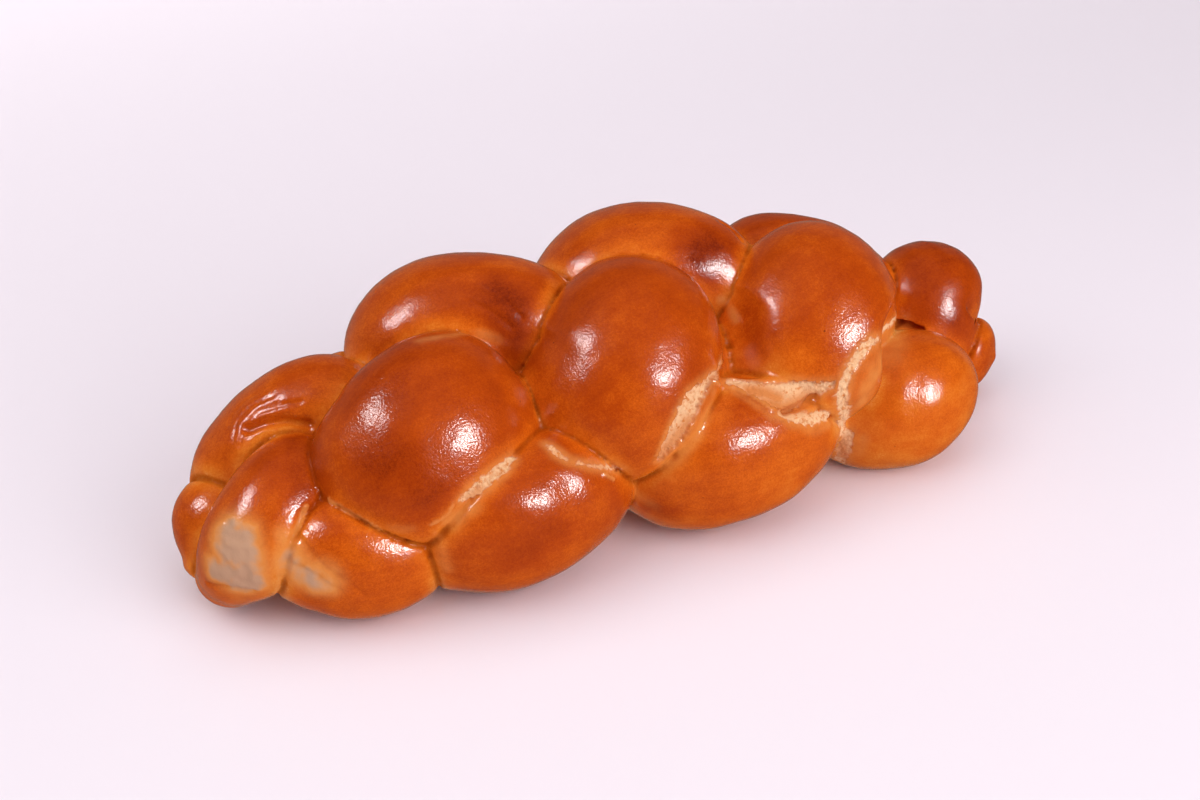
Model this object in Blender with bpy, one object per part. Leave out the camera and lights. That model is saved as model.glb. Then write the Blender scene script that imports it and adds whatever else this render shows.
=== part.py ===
"""Braided kalacs: one loaf of four dough strands, plaited so that each strand rolls round the loaf.

Blender's metres, +Z up. The loaf lies along X and its flat underside is at z = 0. The named sizes and
tables are in millimetres, and MM turns them into metres.
"""

import math

import bmesh
import bpy
import numpy as np
from mathutils import Matrix, Vector, noise

MM = 0.001

# How far the soft dough settled on the tray, which made its underside flat.
SETTLE = 2.0

# The middle line that the strands turn round sinks from the middle of the loaf towards its ends.
AXIS_HEIGHT = 40.0
AXIS_DROP = 15.0
AXIS_REACH = 150.0

# A strand that is pinched under its neighbour.
PINCHED_HALF_WIDTH = 17.0
PINCHED_HALF_THICKNESS = 13.0
PINCHED_HEIGHT_TOP = 38.0
PINCHED_HEIGHT_LOW = 26.0
PINCHED_SIDEWAYS = 0.1

# Where a strand shows on the underside: its step along the loaf, its height and its share of the lobe.
BELLY_STEP = 26.0
BELLY_SIDEWAYS = 0.15
BELLY_HEIGHT = 15.0
BELLY_WIDTH_SHARE = 0.74
BELLY_THICKNESS_SHARE = 0.66

# The dough at the heart of the loaf, which the strands close round.
HEART_MIDDLE = (4.0, 1.0, 30.0)
HEART_HALF_LENGTH = 138.0
HEART_HALF_WIDTH = 33.0
HEART_HALF_HEIGHT = 33.0

RINGS_PER_STATION = 5
STRAND_SIDES = 22
WELD = 0.000002

# A strand's rounded end: how far it reaches past its last row and how far its tip stands past its last
# ring, both as shares of the half thickness there.
TAIL_CAP = 0.6
TIP = 0.2
CAP_RINGS = 3

# The block that cuts the underside.
TRAY_LENGTH = 500.0
TRAY_WIDTH = 300.0
TRAY_DEPTH = 100.0

# The way that a strand runs on each face of the loaf.
RUN = {
    "top front": (0.66, 0.35, 0.38),
    "top back": (0.86, -0.40, 0.16),
    "low front": (0.90, -0.02, -0.02),
    "low back": (0.70, 0.12, -0.50),
}
OWN_RUN = {
    "T1": (0.84, 0.24, 0.30),
    "T4": (0.42, 0.25, 0.60),
    "BT0": (0.70, -0.10, 0.45),
    "A": (0.90, -0.20, -0.05),
    "D": (0.94, -0.11, 0.03),
}

# Each plump lobe of dough: its face, the place of its middle, the distance between its shoulders, its half
# width and half thickness, and the share of them that it has at its first and its last shoulder.
LOBES = {
    "T0": ("top front", (-127, -14, 38), 24, 22, 19, 0.88, 0.88),
    "T1": ("top front", (-75, -20, 56), 28, 35, 27, 0.88, 0.90),
    "T2": ("top front", (2, -18, 64), 24, 38, 31, 0.88, 0.88),
    "T3": ("top front", (79, -18, 62), 24, 38, 30, 0.88, 0.88),
    "T4": ("top front", (147, 3, 35), 20, 25, 25, 0.95, 0.97),
    "BT0": ("top back", (-110, 18, 44), 30, 27, 23, 1.00, 0.90),
    "BT1": ("top back", (-39, 26, 62), 36, 36, 30, 0.96, 0.84),
    "BT2": ("top back", (34, 27, 68), 34, 36, 30, 0.96, 0.80),
    "BT3": ("top back", (92, 26, 63), 20, 26, 22, 0.90, 0.80),
    "A": ("low front", (-102, -27, 24), 26, 25, 21, 0.96, 0.88),
    "B": ("low front", (-49, -33, 30), 36, 31, 27, 0.92, 0.84),
    "C": ("low front", (36, -33, 30), 38, 32, 28, 0.92, 0.84),
    "D": ("low front", (113, -28, 25), 18, 29.5, 27.5, 0.92, 0.92),
    "LA": ("low back", (-136, 8, 22), 14, 21, 18, 0.88, 0.88),
    "LB": ("low back", (-78, 32, 28), 30, 32, 26, 0.88, 0.88),
    "LC": ("low back", (4, 34, 28), 30, 34, 27, 0.88, 0.88),
    "LD": ("low back", (84, 32, 28), 30, 32, 26, 0.88, 0.88),
    "LE": ("low back", (145, 8, 26), 14, 22, 20, 0.88, 0.88),
}

# Each strand's way through the plait, from the left end to the right one.
STRANDS = {
    "strand_1": ["over BT0", "under T1", "over B", "belly B", "under LC", "over BT2", "under T3", "over D"],
    "strand_2": ["over A", "under LB", "over BT1", "under T2", "over C", "belly C", "under LD", "over BT3"],
    "strand_3": ["over T0", "under BT0", "over LB", "belly LB", "under B", "over T2", "under BT2", "over LD",
                 "belly LD", "under D", "over T4"],
    "strand_4": ["over LA", "under A", "over T1", "under BT1", "over LC", "belly LC", "under C", "over T3",
                 "under BT3", "over LE"],
}

# The two ends of each strand: place, half width and half thickness.
TAILS = {
    "strand_1": ((-146, 4, 14, 10, 10), (140, -8, 20, 15, 13)),
    "strand_2": ((-128, -8, 20, 12, 12), (146, 6, 34, 12, 12)),
    "strand_3": ((-146, -8, 14, 12, 12), (158, 2, 30, 17, 17)),
    "strand_4": ((-150, 0, 14, 10, 10), (168, -9, 21, 15, 15)),
}

# A lobe that its neighbour pressed flat: the lobe, a point on the flat, the way the flat faces, and the share
# of the dough's bulge past the flat that gave way. The flat is whole from PRESS_FROM of the way between the
# shoulders to the last one, and fades out over PRESS_FADE of a span on both sides.
PRESSED = {
    "strand_4": ("T3", (82, -49, 69), (0.58, -0.65, -0.50), 0.85),
}
PRESS_FROM = 0.7
PRESS_FADE = 0.6

# Ridges of torn crumb in the creases that the oven spring pulled open: the points along each ridge, its
# half width and its half height.
TEARS = {
    "tear_T2_C": ([(26, -36, 64), (15, -44, 60), (7, -48, 53), (1, -49, 45)], 6.5, 4.5),
    "tear_T3_C": ([(28, -38, 60), (42, -41, 54), (54, -45, 51), (67, -47, 50)], 7.0, 5.0),
    "tear_C_D": ([(84, -44, 62), (76, -46, 52), (76, -43, 36), (84, -38, 20)], 5.0, 4.5),
    "tear_T1_B": ([(-56, -43, 56), (-67, -47, 52), (-78, -48, 47)], 4.0, 3.5),
}
TEAR_RINGS = 5
TEAR_SIDES = 8
CRUMB_BUMP = 1.6
CRUMB_SIZE = 7.0

CRUST_COLOUR = (0.47, 0.125, 0.018, 1.0)
CRUST_ROUGHNESS = 0.32


def turn_angle(x, y, z):
    """Which way out of the loaf a point lies, in degrees round the middle line."""
    axis = AXIS_HEIGHT - AXIS_DROP * (x / AXIS_REACH) ** 2
    return math.degrees(math.atan2(z - axis, y))


def over(name):
    """The two shoulders of a lobe that shows, as rows of x, y, z, half width, half thickness, angle."""
    face, middle, length, half_width, half_thickness, first, last = LOBES[name]
    reach = Vector(OWN_RUN.get(name, RUN[face])).normalized() * length / 2
    angle = turn_angle(*middle)
    return [
        (*(Vector(middle) - reach), half_width * first, half_thickness * first, angle),
        (*(Vector(middle) + reach), half_width * last, half_thickness * last, angle),
    ]


def under(name, before, after):
    """The row where a strand is pinched below a lobe, midway between the lobes before and after it."""
    face, middle = LOBES[name][:2]
    x = (LOBES[before][1][0] + LOBES[after][1][0]) / 2
    height = PINCHED_HEIGHT_TOP if face.startswith("top") else PINCHED_HEIGHT_LOW
    sideways = PINCHED_SIDEWAYS * middle[1]
    return (x, sideways, height, PINCHED_HALF_WIDTH, PINCHED_HALF_THICKNESS, turn_angle(*middle))


def belly(name):
    """The row where a strand shows on the underside after a side lobe."""
    (x, y, _), _, half_width, half_thickness = LOBES[name][1:5]
    share = (half_width * BELLY_WIDTH_SHARE, half_thickness * BELLY_THICKNESS_SHARE)
    return (x + BELLY_STEP, BELLY_SIDEWAYS * y, BELLY_HEIGHT, *share, -90.0)


def strand_rows(route, tails):
    """All the rows of one strand, with its angle made to run on without jumps."""
    rows = [(*tails[0], turn_angle(*tails[0][:3]))]
    for i, step in enumerate(route):
        way, name = step.split()
        if way == "over":
            rows += over(name)
        elif way == "belly":
            rows.append(belly(name))
        else:
            rows.append(under(name, route[i - 1].split()[1], route[i + 1].split()[1]))
    rows.append((*tails[1], turn_angle(*tails[1][:3])))
    rows = np.array(rows, float)
    rows[:, 5] = np.unwrap(rows[:, 5], period=360)
    return rows


def smooth_run(rows, steps):
    """A smooth curve through the rows: a cubic for each span, with slopes that follow the neighbours."""
    spans = np.sqrt(np.linalg.norm(np.diff(rows[:, :3], axis=0), axis=1))[:, None]
    rises = np.diff(rows, axis=0) / spans
    slopes = np.empty_like(rows)
    slopes[0], slopes[-1] = rises[0], rises[-1]
    before, after = spans[:-1], spans[1:]
    slopes[1:-1] = (rises[:-1] * after + rises[1:] * before) / (before + after)
    t = np.linspace(0, 1, steps, endpoint=False)[:, None]
    run = []
    for i, span in enumerate(spans):
        run.append((2 * t**3 - 3 * t**2 + 1) * rows[i] + (3 * t**2 - 2 * t**3) * rows[i + 1]
                   + (t**3 - 2 * t**2 + t) * span * slopes[i] + (t**3 - t**2) * span * slopes[i + 1])
    run.append(rows[-1:])
    run = np.concatenate(run)
    return np.concatenate([rounded_end(run[0], run[1])[::-1], run, rounded_end(run[-1], run[-2])])


def rounded_end(end, beside):
    """Rows that shrink past the end row, away from the one beside it, so that the end is rounded."""
    turn = np.linspace(0, math.pi / 2, CAP_RINGS + 1)[1:-1]
    way = (end[:3] - beside[:3]) / np.linalg.norm(end[:3] - beside[:3])
    cap = np.repeat(end[None], len(turn), axis=0)
    cap[:, :3] += np.outer(np.sin(turn), way) * end[4] * TAIL_CAP
    cap[:, 3:5] *= np.cos(turn)[:, None]
    return cap


def tube(name, run, sides, bump=0.0):
    """A closed tube of elliptic rings along a run, with blunt ends. bump roughens it by seeded noise."""
    middles, half_widths, half_thicknesses = run[:, :3], run[:, 3:4], run[:, 4:5]
    angles = np.radians(run[:, 5])
    along = np.gradient(middles, axis=0)
    along /= np.linalg.norm(along, axis=1)[:, None]
    out = np.stack([np.zeros(len(run)), np.cos(angles), np.sin(angles)], axis=1)
    out -= (out * along).sum(axis=1)[:, None] * along
    out /= np.linalg.norm(out, axis=1)[:, None]
    across = np.cross(along, out)
    mesh = bmesh.new()
    rings = []
    for i in range(len(run)):
        ring = []
        for turn in np.linspace(0, 2 * math.pi, sides, endpoint=False):
            arm = across[i] * half_widths[i] * math.cos(turn) + out[i] * half_thicknesses[i] * math.sin(turn)
            point = Vector(middles[i] + arm)
            if bump:
                point += Vector(arm).normalized() * bump * noise.noise(point / CRUMB_SIZE)
            ring.append(mesh.verts.new(point * MM))
        rings.append(ring)
    for first, second in zip(rings, rings[1:]):
        for j in range(sides):
            k = (j + 1) % sides
            mesh.faces.new((first[j], first[k], second[k], second[j]))
    for end, way in ((0, -1), (-1, 1)):
        tip = mesh.verts.new(Vector(middles[end] + along[end] * way * half_thicknesses[end] * TIP) * MM)
        for j in range(sides):
            mesh.faces.new((rings[end][j], rings[end][(j + 1) % sides], tip))
    bmesh.ops.recalc_face_normals(mesh, faces=mesh.faces)
    return mesh_object(name, mesh)


def first_shoulder(route, lobe):
    """The number of the row at a lobe's first shoulder."""
    row = 1
    for step in route:
        if step == "over " + lobe:
            break
        row += 2 if step.startswith("over") else 1
    return row


def press_flat(strand, route, lobe, place, out, give):
    """Squeezes what a lobe has beyond a flat back towards the flat."""
    row = first_shoulder(route, lobe)
    place, out = Vector(place) * MM, Vector(out)
    for vert in strand.data.vertices:
        station = (vert.index // STRAND_SIDES - CAP_RINGS + 1) / RINGS_PER_STATION
        off = max(row + PRESS_FROM - station, station - row - 1)
        share = min(max(1 - off / PRESS_FADE, 0.0), 1.0)
        beyond = max((vert.co - place).dot(out), 0.0)
        vert.co -= out * beyond * give * share * share * (3 - 2 * share)


def tear(name, points, half_width, half_height):
    """One ridge of torn crumb, thinner towards its two ends."""
    rows = []
    for i, point in enumerate(points):
        size = 0.45 if i in (0, len(points) - 1) else 1.0
        rows.append((*point, half_width * size, half_height * size, turn_angle(*point)))
    return tube(name, smooth_run(np.array(rows, float), TEAR_RINGS), TEAR_SIDES, CRUMB_BUMP)


def heart():
    """The dough inside, which comes down to the tray between the strands."""
    mesh = bmesh.new()
    bmesh.ops.create_uvsphere(mesh, u_segments=20, v_segments=10, radius=1.0)
    half_sizes = Vector((HEART_HALF_LENGTH, HEART_HALF_WIDTH, HEART_HALF_HEIGHT))
    for vert in mesh.verts:
        vert.co = (Vector(HEART_MIDDLE) + vert.co * half_sizes) * MM
    return mesh_object("kalacs", mesh)


def mesh_object(name, mesh):
    data = bpy.data.meshes.new(name)
    mesh.to_mesh(data)
    mesh.free()
    return bpy.data.objects.new(name, data)


def apply_boolean(obj, operation, **operand):
    """Runs one exact Boolean on the object and keeps its result as the object's mesh."""
    modifier = obj.modifiers.new("boolean", "BOOLEAN")
    modifier.operation = operation
    modifier.solver = "EXACT"
    modifier.use_self = True
    for key, value in operand.items():
        setattr(modifier, key, value)
    graph = bpy.context.evaluated_depsgraph_get()
    result = bpy.data.meshes.new_from_object(obj.evaluated_get(graph))
    obj.modifiers.clear()
    obj.data = result


def keep_outer_shell(obj):
    """Keeps the largest set of faces that meet two by two, drops the scraps, and closes what they leave."""
    mesh = bmesh.new()
    mesh.from_mesh(obj.data)
    bmesh.ops.remove_doubles(mesh, verts=mesh.verts, dist=WELD)
    bmesh.ops.triangulate(mesh, faces=mesh.faces)
    left = set(mesh.faces)
    shells = []
    while left:
        shell, rim = set(), [left.pop()]
        while rim:
            face = rim.pop()
            shell.add(face)
            for edge in face.edges:
                if len(edge.link_faces) != 2:
                    continue
                for other in edge.link_faces:
                    if other in left:
                        left.remove(other)
                        rim.append(other)
        shells.append(shell)
    shells.sort(key=len)
    scraps = [face for shell in shells[:-1] for face in shell]
    bmesh.ops.delete(mesh, geom=scraps, context="FACES")
    torn = [edge for edge in mesh.edges if edge.is_boundary]
    bmesh.ops.holes_fill(mesh, edges=torn, sides=0)
    bmesh.ops.triangulate(mesh, faces=mesh.faces)
    bmesh.ops.recalc_face_normals(mesh, faces=mesh.faces)
    mesh.to_mesh(obj.data)
    mesh.free()


def stand_on_origin(obj):
    """Puts the middle of the underside at the origin."""
    points = np.array([vert.co for vert in obj.data.vertices])
    low, high = points.min(axis=0), points.max(axis=0)
    middle = (low + high) / 2
    middle[2] = low[2]
    obj.data.transform(Matrix.Translation(-Vector(middle)))
    print("middle of the underside in the tables' frame, mm:", np.round(middle / MM, 1))


def crust_material():
    material = bpy.data.materials.new("baked crust")
    material.use_nodes = True
    shader = material.node_tree.nodes["Principled BSDF"]
    shader.inputs["Base Color"].default_value = CRUST_COLOUR
    shader.inputs["Roughness"].default_value = CRUST_ROUGHNESS
    shader.inputs["Metallic"].default_value = 0.0
    return material


def tray():
    """A block that cuts the underside flat where the loaf lay."""
    mesh = bmesh.new()
    bmesh.ops.create_cube(mesh, size=1.0)
    for vert in mesh.verts:
        depth = (vert.co.z - 0.5) * TRAY_DEPTH + SETTLE
        vert.co = Vector((vert.co.x * TRAY_LENGTH, vert.co.y * TRAY_WIDTH, depth)) * MM
    return mesh_object("tray", mesh)


def main():
    for obj in list(bpy.data.objects):
        bpy.data.objects.remove(obj)
    scene = bpy.context.scene.collection
    dough = bpy.data.collections.new("dough")
    scene.children.link(dough)
    loaf = heart()
    scene.objects.link(loaf)
    for name, route in STRANDS.items():
        run = smooth_run(strand_rows(route, TAILS[name]), RINGS_PER_STATION)
        strand = tube(name, run, STRAND_SIDES)
        if name in PRESSED:
            press_flat(strand, route, *PRESSED[name])
        dough.objects.link(strand)
    for name, (points, half_width, half_height) in TEARS.items():
        dough.objects.link(tear(name, points, half_width, half_height))
    apply_boolean(loaf, "UNION", operand_type="COLLECTION", collection=dough)
    for obj in list(dough.objects):
        bpy.data.objects.remove(obj)
    bpy.data.collections.remove(dough)
    block = tray()
    scene.objects.link(block)
    apply_boolean(loaf, "DIFFERENCE", operand_type="OBJECT", object=block)
    bpy.data.objects.remove(block)
    keep_outer_shell(loaf)
    stand_on_origin(loaf)
    loaf.data.materials.clear()
    loaf.data.materials.append(crust_material())
    loaf.data.shade_smooth()
    print("triangles", len(loaf.data.polygons))


main()
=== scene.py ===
import math

import bmesh
import bpy
import numpy as np
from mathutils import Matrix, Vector, bvhtree, kdtree, noise


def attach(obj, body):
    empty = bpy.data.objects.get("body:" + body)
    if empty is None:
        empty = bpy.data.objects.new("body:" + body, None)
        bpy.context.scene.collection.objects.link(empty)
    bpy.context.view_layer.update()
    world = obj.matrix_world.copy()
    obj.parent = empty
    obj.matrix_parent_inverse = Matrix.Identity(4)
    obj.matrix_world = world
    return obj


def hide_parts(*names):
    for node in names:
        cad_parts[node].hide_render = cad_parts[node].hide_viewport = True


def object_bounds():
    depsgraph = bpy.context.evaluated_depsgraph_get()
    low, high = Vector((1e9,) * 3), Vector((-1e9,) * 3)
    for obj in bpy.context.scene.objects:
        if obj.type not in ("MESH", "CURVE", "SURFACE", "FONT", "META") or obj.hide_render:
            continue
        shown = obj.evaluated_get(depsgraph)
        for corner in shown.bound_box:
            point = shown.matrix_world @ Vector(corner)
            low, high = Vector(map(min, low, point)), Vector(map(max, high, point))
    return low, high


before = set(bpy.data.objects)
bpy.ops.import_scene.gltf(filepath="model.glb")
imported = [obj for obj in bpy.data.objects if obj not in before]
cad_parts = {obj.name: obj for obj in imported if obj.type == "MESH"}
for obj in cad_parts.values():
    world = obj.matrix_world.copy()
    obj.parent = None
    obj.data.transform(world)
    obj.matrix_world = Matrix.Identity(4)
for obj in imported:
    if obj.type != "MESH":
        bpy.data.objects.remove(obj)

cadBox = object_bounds()
mm = 0.001

# the plait: four strands of dough, in the baker's own millimetres, x along the loaf and z up from the tray
braid = {
    "axisHeight": 40.0, "axisDrop": 15.0, "axisReach": 150.0,
    "pinchedSize": (17.0, 13.0), "pinchedTop": 38.0, "pinchedLow": 26.0, "pinchedSideways": 0.1,
    "bellyStep": 26.0, "bellySideways": 0.15, "bellyHeight": 15.0, "bellyShare": (0.74, 0.66),
    "heartMiddle": (4.0, 1.0, 30.0), "heartHalf": (138.0, 33.0, 33.0), "heartTip": 0.03,
    "tailCap": 0.6,
    "middle": (10.7, 1.1, 2.0),   # the middle of the underside, which goes to the origin
    "ringsPerStation": 24, "sides": 96, "capRings": 6, "heartRings": 60, "heartSides": 64,
    "tearRings": 12, "tearSides": 32, "tearEnd": 0.45,   # the share of its size that a tear's ridge has at its ends
    "voxel": 0.95, "triangles": 190000, "boxGap": 0.05,
    "run": {"top front": (0.66, 0.35, 0.38), "top back": (0.86, -0.40, 0.16),
            "low front": (0.90, -0.02, -0.02), "low back": (0.70, 0.12, -0.50)},
    "ownRun": {"T1": (0.84, 0.24, 0.30), "T4": (0.42, 0.25, 0.60), "BT0": (0.70, -0.10, 0.45),
               "A": (0.90, -0.20, -0.05), "D": (0.94, -0.11, 0.03)},
    # a lobe pressed flat by its neighbour: a point and the outward direction of the flat, how far it gives
    "pressed": {"T3": ((82, -49, 69), (0.58, -0.65, -0.50), 0.85)}, "pressFrom": 0.7, "pressFade": 0.6,
    # lobe: face, middle, length between shoulders, half width, half thickness, share at each shoulder;
    # T top front, BT top back, A to D low front, LA to LE low back, each counted from the pale end
    "lobes": {
        "T0": ("top front", (-127, -14, 38), 24, 22, 19, 0.88, 0.88),
        "T1": ("top front", (-75, -20, 56), 28, 35, 27, 0.88, 0.90),
        "T2": ("top front", (2, -18, 64), 24, 38, 31, 0.88, 0.88),
        "T3": ("top front", (79, -18, 62), 24, 38, 30, 0.88, 0.88),
        "T4": ("top front", (147, 3, 35), 20, 25, 25, 0.95, 0.97),
        "BT0": ("top back", (-110, 18, 44), 30, 27, 23, 1.00, 0.90),
        "BT1": ("top back", (-39, 26, 62), 36, 36, 30, 0.96, 0.84),
        "BT2": ("top back", (34, 27, 68), 34, 36, 30, 0.96, 0.80),
        "BT3": ("top back", (92, 26, 63), 20, 26, 22, 0.90, 0.80),
        "A": ("low front", (-102, -27, 24), 26, 25, 21, 0.96, 0.88),
        "B": ("low front", (-49, -33, 30), 36, 31, 27, 0.92, 0.84),
        "C": ("low front", (36, -33, 30), 38, 32, 28, 0.92, 0.84),
        "D": ("low front", (113, -28, 25), 18, 29.5, 27.5, 0.92, 0.92),
        "LA": ("low back", (-136, 8, 22), 14, 21, 18, 0.88, 0.88),
        "LB": ("low back", (-78, 32, 28), 30, 32, 26, 0.88, 0.88),
        "LC": ("low back", (4, 34, 28), 30, 34, 27, 0.88, 0.88),
        "LD": ("low back", (84, 32, 28), 30, 32, 26, 0.88, 0.88),
        "LE": ("low back", (145, 8, 26), 14, 22, 20, 0.88, 0.88),
    },
    "strands": [
        (["over BT0", "under T1", "over B", "belly B", "under LC", "over BT2", "under T3", "over D"],
         (-146, 4, 14, 10, 10), (140, -8, 20, 15, 13)),
        (["over A", "under LB", "over BT1", "under T2", "over C", "belly C", "under LD", "over BT3"],
         (-128, -8, 20, 12, 12), (146, 6, 34, 12, 12)),
        (["over T0", "under BT0", "over LB", "belly LB", "under B", "over T2", "under BT2", "over LD",
          "belly LD", "under D", "over T4"],
         (-146, -8, 14, 12, 12), (158, 2, 30, 17, 17)),
        (["over LA", "under A", "over T1", "under BT1", "over LC", "belly LC", "under C", "over T3",
          "under BT3", "over LE"],
         (-150, 0, 14, 10, 10), (168, -9, 21, 15, 15)),
    ],
    # ridges of torn crumb in the creases that the oven opened: points, half width, half height
    "tears": {
        "T2C": ([(26, -36, 64), (15, -44, 60), (7, -48, 53), (1, -49, 45)], 6.5, 4.5),
        "T3C": ([(28, -38, 60), (42, -41, 54), (54, -45, 51), (67, -47, 50)], 7.0, 5.0),
        "CD": ([(84, -44, 62), (76, -46, 52), (76, -43, 36), (84, -38, 20)], 5.0, 4.5),
        "T1B": ([(-56, -43, 56), (-67, -47, 52), (-78, -48, 47)], 4.0, 3.5),
    },
}


def ease(low, high, values):
    t = np.clip((values - low) / (high - low), 0, 1)
    return t * t * (3 - 2 * t)


def turnAngle(x, y, z):
    axis = braid["axisHeight"] - braid["axisDrop"] * (x / braid["axisReach"]) ** 2
    return math.degrees(math.atan2(z - axis, y))


def overRows(name):
    face, middle, length, halfWidth, halfThickness, first, last = braid["lobes"][name]
    reach = Vector(braid["ownRun"].get(name, braid["run"][face])).normalized() * length / 2
    angle = turnAngle(*middle)
    return [(*(Vector(middle) - reach), halfWidth * first, halfThickness * first, angle),
            (*(Vector(middle) + reach), halfWidth * last, halfThickness * last, angle)]


def underRow(name, before, after):
    face, middle = braid["lobes"][name][:2]
    x = (braid["lobes"][before][1][0] + braid["lobes"][after][1][0]) / 2
    height = braid["pinchedTop"] if face.startswith("top") else braid["pinchedLow"]
    return (x, braid["pinchedSideways"] * middle[1], height, *braid["pinchedSize"], turnAngle(*middle))


def bellyRow(name):
    (x, y, _), _, halfWidth, halfThickness = braid["lobes"][name][1:5]
    widthShare, thicknessShare = braid["bellyShare"]
    return (x + braid["bellyStep"], braid["bellySideways"] * y, braid["bellyHeight"],
            halfWidth * widthShare, halfThickness * thicknessShare, -90.0)


def strandRows(route, firstTail, lastTail):
    rows, names = [(*firstTail, turnAngle(*firstTail[:3]))], ["tail"]
    for i, step in enumerate(route):
        way, name = step.split()
        if way == "over":
            rows += overRows(name)
            names += [name, name]
        elif way == "belly":
            rows.append(bellyRow(name))
            names.append("belly")
        else:
            rows.append(underRow(name, route[i - 1].split()[1], route[i + 1].split()[1]))
            names.append("under")
    rows.append((*lastTail, turnAngle(*lastTail[:3])))
    names.append("tail")
    rows = np.array(rows, float)
    rows[:, 5] = np.unwrap(rows[:, 5], period=360)
    return rows, names


def smoothRun(rows, steps):
    spans = np.sqrt(np.linalg.norm(np.diff(rows[:, :3], axis=0), axis=1))[:, None]
    rises = np.diff(rows, axis=0) / spans
    slopes = np.empty_like(rows)
    slopes[0], slopes[-1] = rises[0], rises[-1]
    before, after = spans[:-1], spans[1:]
    slopes[1:-1] = (rises[:-1] * after + rises[1:] * before) / (before + after)
    t = np.linspace(0, 1, steps, endpoint=False)[:, None]
    run = []
    for i, span in enumerate(spans):
        run.append((2 * t**3 - 3 * t**2 + 1) * rows[i] + (3 * t**2 - 2 * t**3) * rows[i + 1]
                   + (t**3 - 2 * t**2 + t) * span * slopes[i] + (t**3 - t**2) * span * slopes[i + 1])
    run.append(rows[-1:])
    run = np.concatenate(run)
    # rounded ends: rings that shrink beyond the first and the last row
    turn = np.linspace(0, math.pi / 2, braid["capRings"] + 1)[1:-1]
    ends = []
    for end, beside in ((run[0], run[1]), (run[-1], run[-2])):
        way = (end[:3] - beside[:3]) / np.linalg.norm(end[:3] - beside[:3])
        cap = np.repeat(end[None], len(turn), axis=0)
        cap[:, :3] += np.outer(np.sin(turn), way) * end[4] * braid["tailCap"]
        cap[:, 3:5] *= np.cos(turn)[:, None]
        ends.append(cap)
    return np.concatenate([ends[0][::-1], run, ends[1]])


def tube(run, sides):
    # elliptic rings along the run, and their faces with two blunt ends
    middles, halfWidths, halfThicknesses = run[:, None, :3], run[:, 3], run[:, 4]
    angles = np.radians(run[:, 5])
    along = np.gradient(run[:, :3], axis=0)
    along /= np.linalg.norm(along, axis=1)[:, None]
    out = np.stack([np.zeros(len(run)), np.cos(angles), np.sin(angles)], axis=1)
    out -= (out * along).sum(axis=1)[:, None] * along
    out /= np.linalg.norm(out, axis=1)[:, None]
    across = np.cross(along, out)
    turn = np.linspace(0, 2 * math.pi, sides, endpoint=False)
    arms = (np.outer(halfWidths, np.cos(turn))[..., None] * across[:, None]
            + np.outer(halfThicknesses, np.sin(turn))[..., None] * out[:, None])
    rings = len(run)
    tips = [run[end, :3] + way * along[end] * halfThicknesses[end] * braid["tailCap"] / 2
            for end, way in ((0, -1), (-1, 1))]
    points = np.concatenate([(middles + arms).reshape(-1, 3), tips])
    i, j = np.meshgrid(np.arange(rings - 1), np.arange(sides), indexing="ij")
    k = (j + 1) % sides
    faces = np.stack([i * sides + j, i * sides + k, (i + 1) * sides + k, (i + 1) * sides + j], -1)
    faces = faces.reshape(-1, 4).tolist()
    last, firstTip, lastTip = (rings - 1) * sides, rings * sides, rings * sides + 1
    faces += [[(j + 1) % sides, j, firstTip] for j in range(sides)]
    faces += [[last + j, last + (j + 1) % sides, lastTip] for j in range(sides)]
    return points, faces


def pressLobe(points, stations, names, lobe):
    # squeezes what lies beyond the flat back towards it, round the rings of the lobe alone
    place, out, give = braid["pressed"][lobe]
    rows = [i for i, name in enumerate(names) if name == lobe]
    off = np.maximum(rows[0] + braid["pressFrom"] - stations, stations - rows[-1])
    share = ease(braid["pressFade"], 0.0, off).repeat(braid["sides"])
    rings = points[:len(share)]
    beyond = np.maximum((rings - place) @ np.array(out), 0)
    rings -= (give * share * beyond)[:, None] * np.array(out)


def strandTubes():
    # each strand's tube, with what the skin needs to know at every ring: which lobe, and how far along
    tubes = []
    for route, firstTail, lastTail in braid["strands"]:
        rows, names = strandRows(route, firstTail, lastTail)
        run = smoothRun(rows, braid["ringsPerStation"])
        points, faces = tube(run, braid["sides"])
        length = np.concatenate([[0], np.cumsum(np.linalg.norm(np.diff(run[:, :3], axis=0), axis=1))])
        first = braid["capRings"] - 1
        stations = np.clip((np.arange(len(run)) - first) / braid["ringsPerStation"], 0, len(names) - 1)
        lobes = [names[round(station)] for station in stations]
        for lobe in set(lobes) & set(braid["pressed"]):
            pressLobe(points, stations, names, lobe)
        tubes.append({"points": points, "faces": faces, "run": run, "length": length, "lobes": lobes})
    return tubes


def heartTube():
    x, y, z = braid["heartMiddle"]
    halfLength, halfWidth, halfHeight = braid["heartHalf"]
    turn = np.linspace(braid["heartTip"], math.pi - braid["heartTip"], braid["heartRings"])
    ones = np.ones_like(turn)
    run = np.stack([x - halfLength * np.cos(turn), y * ones, z * ones,
                    halfWidth * np.sin(turn), halfHeight * np.sin(turn), 90 * ones], axis=1)
    return tube(run, braid["heartSides"])


def tearTube(points, halfWidth, halfHeight):
    rows = []
    for i, point in enumerate(points):
        size = braid["tearEnd"] if i in (0, len(points) - 1) else 1.0
        rows.append((*point, halfWidth * size, halfHeight * size, turnAngle(*point)))
    return tube(smoothRun(np.array(rows, float), braid["tearRings"]), braid["tearSides"])


def joined(parts):
    points, faces, start = [], [], 0
    for partPoints, partFaces in parts:
        points.append(partPoints)
        faces += [[start + corner for corner in face] for face in partFaces]
        start += len(partPoints)
    return np.concatenate(points), faces


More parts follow.
